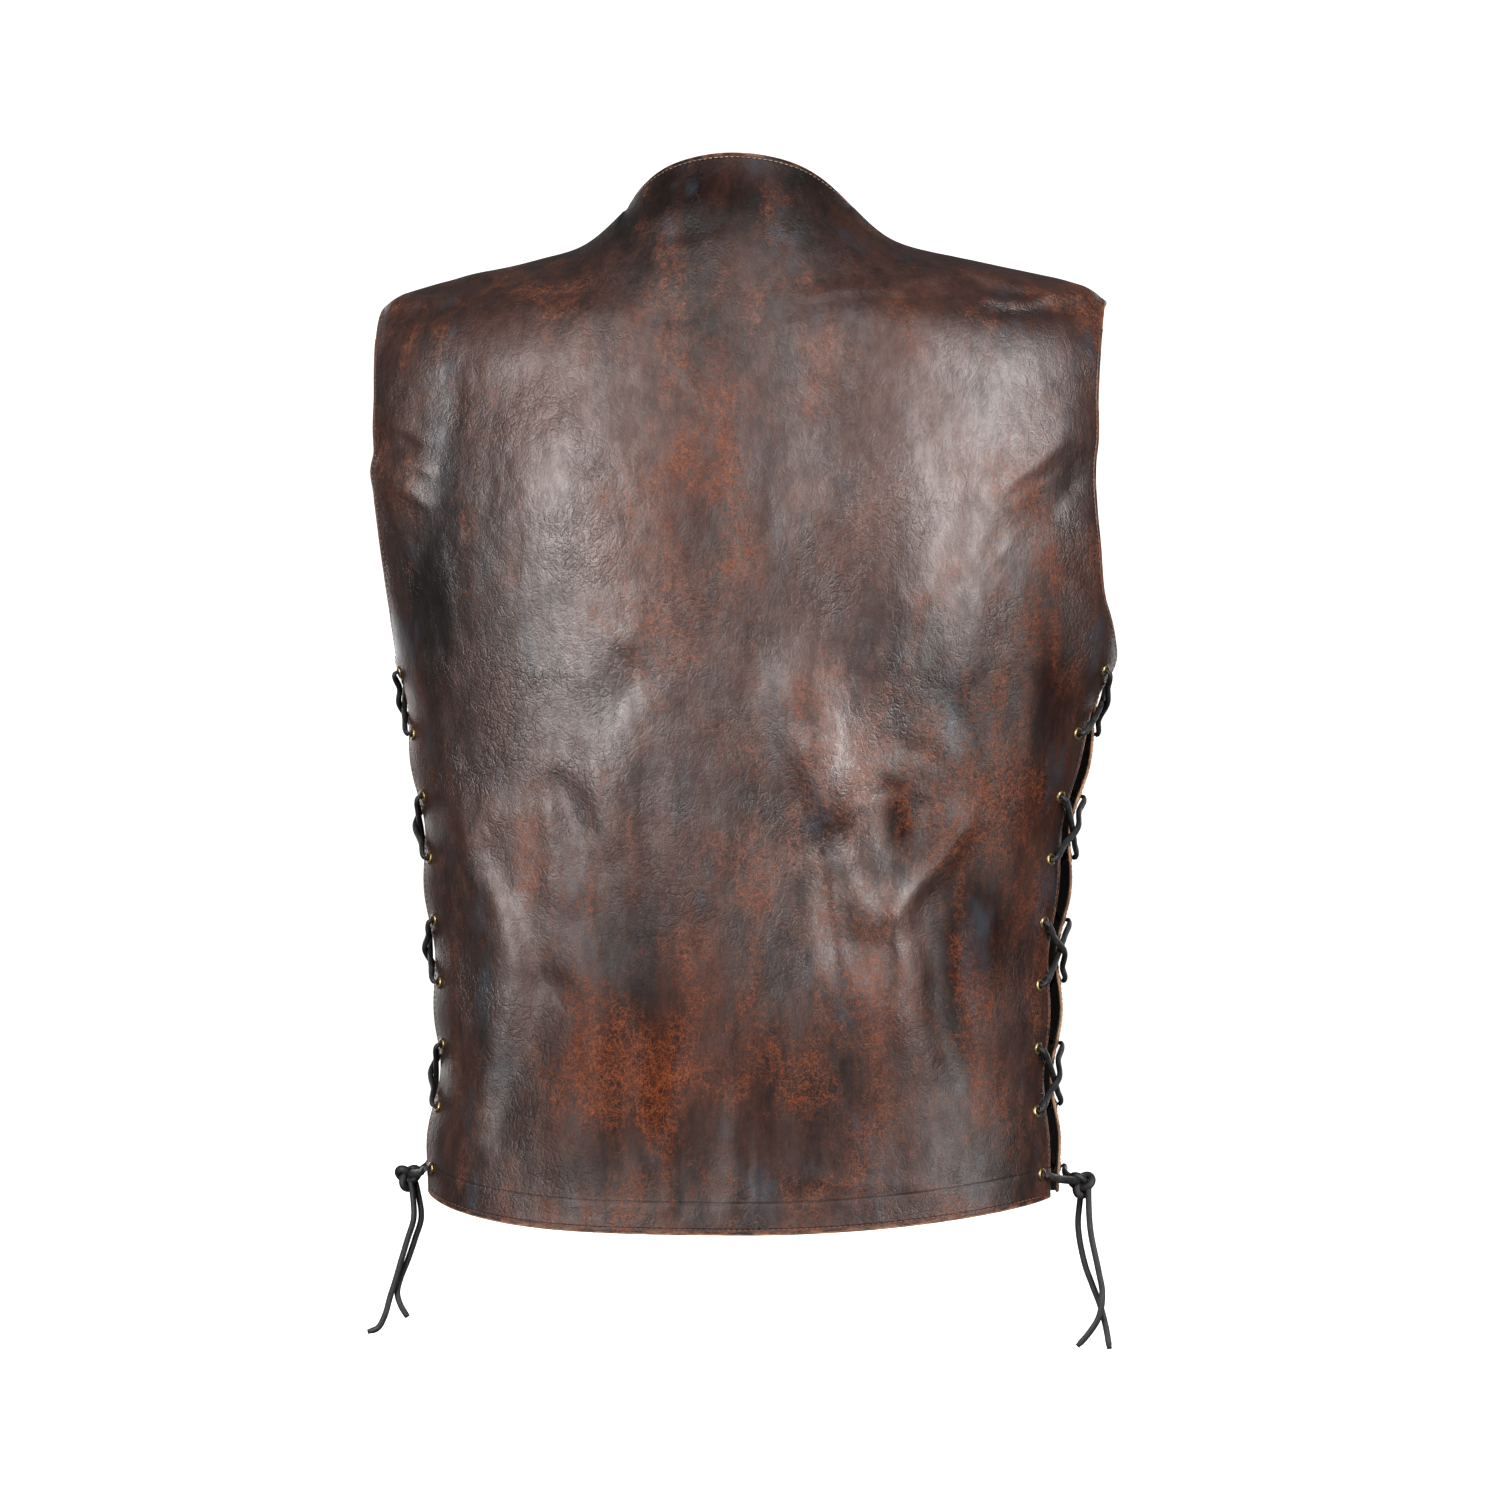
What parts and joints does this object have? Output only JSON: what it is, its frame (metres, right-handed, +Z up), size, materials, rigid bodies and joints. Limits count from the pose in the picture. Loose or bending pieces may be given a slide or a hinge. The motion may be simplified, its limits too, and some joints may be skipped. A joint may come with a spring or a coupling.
{
  "type": "leather vest",
  "caption": "Sleeveless brown distressed leather vest in its worn form, V neck with a snap front, both sides open and laced through eyelets with knotted lace ends.",
  "frame": {"origin": "on the wearer's shoulder line, midway between the shoulders", "axes": "+Z up, +X to the wearer's left, front of the vest facing -Y"},
  "size_m": [0.4796, 0.2545, 0.7477],
  "materials": {
    "leather": "dark brown distressed leather with reddish rub-off and a soft sheen",
    "lace": "black leather lace, matt",
    "brass": "antique brass, worn"
  },
  "bodies": {
    "root": {"back_panel": "leather", "front_panel_left": "leather", "front_panel_right": "leather", "eyelet_left_back_1": "brass", "eyelet_left_back_2": "brass", "eyelet_left_back_3": "brass", "eyelet_left_back_4": "brass", "eyelet_left_back_5": "brass", "eyelet_left_back_6": "brass", "eyelet_left_back_7": "brass", "eyelet_left_back_8": "brass", "eyelet_left_back_9": "brass", "eyelet_left_front_1": "brass", "eyelet_left_front_2": "brass", "eyelet_left_front_3": "brass", "eyelet_left_front_4": "brass", "eyelet_left_front_5": "brass", "eyelet_left_front_6": "brass", "eyelet_left_front_7": "brass", "eyelet_left_front_8": "brass", "eyelet_left_front_9": "brass", "lace_left": "lace", "knot_left": "lace", "lace_end_left_outer": "lace", "lace_end_left_inner": "lace", "eyelet_right_back_1": "brass", "eyelet_right_back_2": "brass", "eyelet_right_back_3": "brass", "eyelet_right_back_4": "brass", "eyelet_right_back_5": "brass", "eyelet_right_back_6": "brass", "eyelet_right_back_7": "brass", "eyelet_right_back_8": "brass", "eyelet_right_back_9": "brass", "eyelet_right_front_1": "brass", "eyelet_right_front_2": "brass", "eyelet_right_front_3": "brass", "eyelet_right_front_4": "brass", "eyelet_right_front_5": "brass", "eyelet_right_front_6": "brass", "eyelet_right_front_7": "brass", "eyelet_right_front_8": "brass", "eyelet_right_front_9": "brass", "lace_right": "lace", "knot_right": "lace", "lace_end_right_outer": "lace", "lace_end_right_inner": "lace", "snap_cap_1": "brass", "snap_cap_2": "brass", "snap_cap_3": "brass", "snap_cap_4": "brass"}
  },
  "joints": []
}
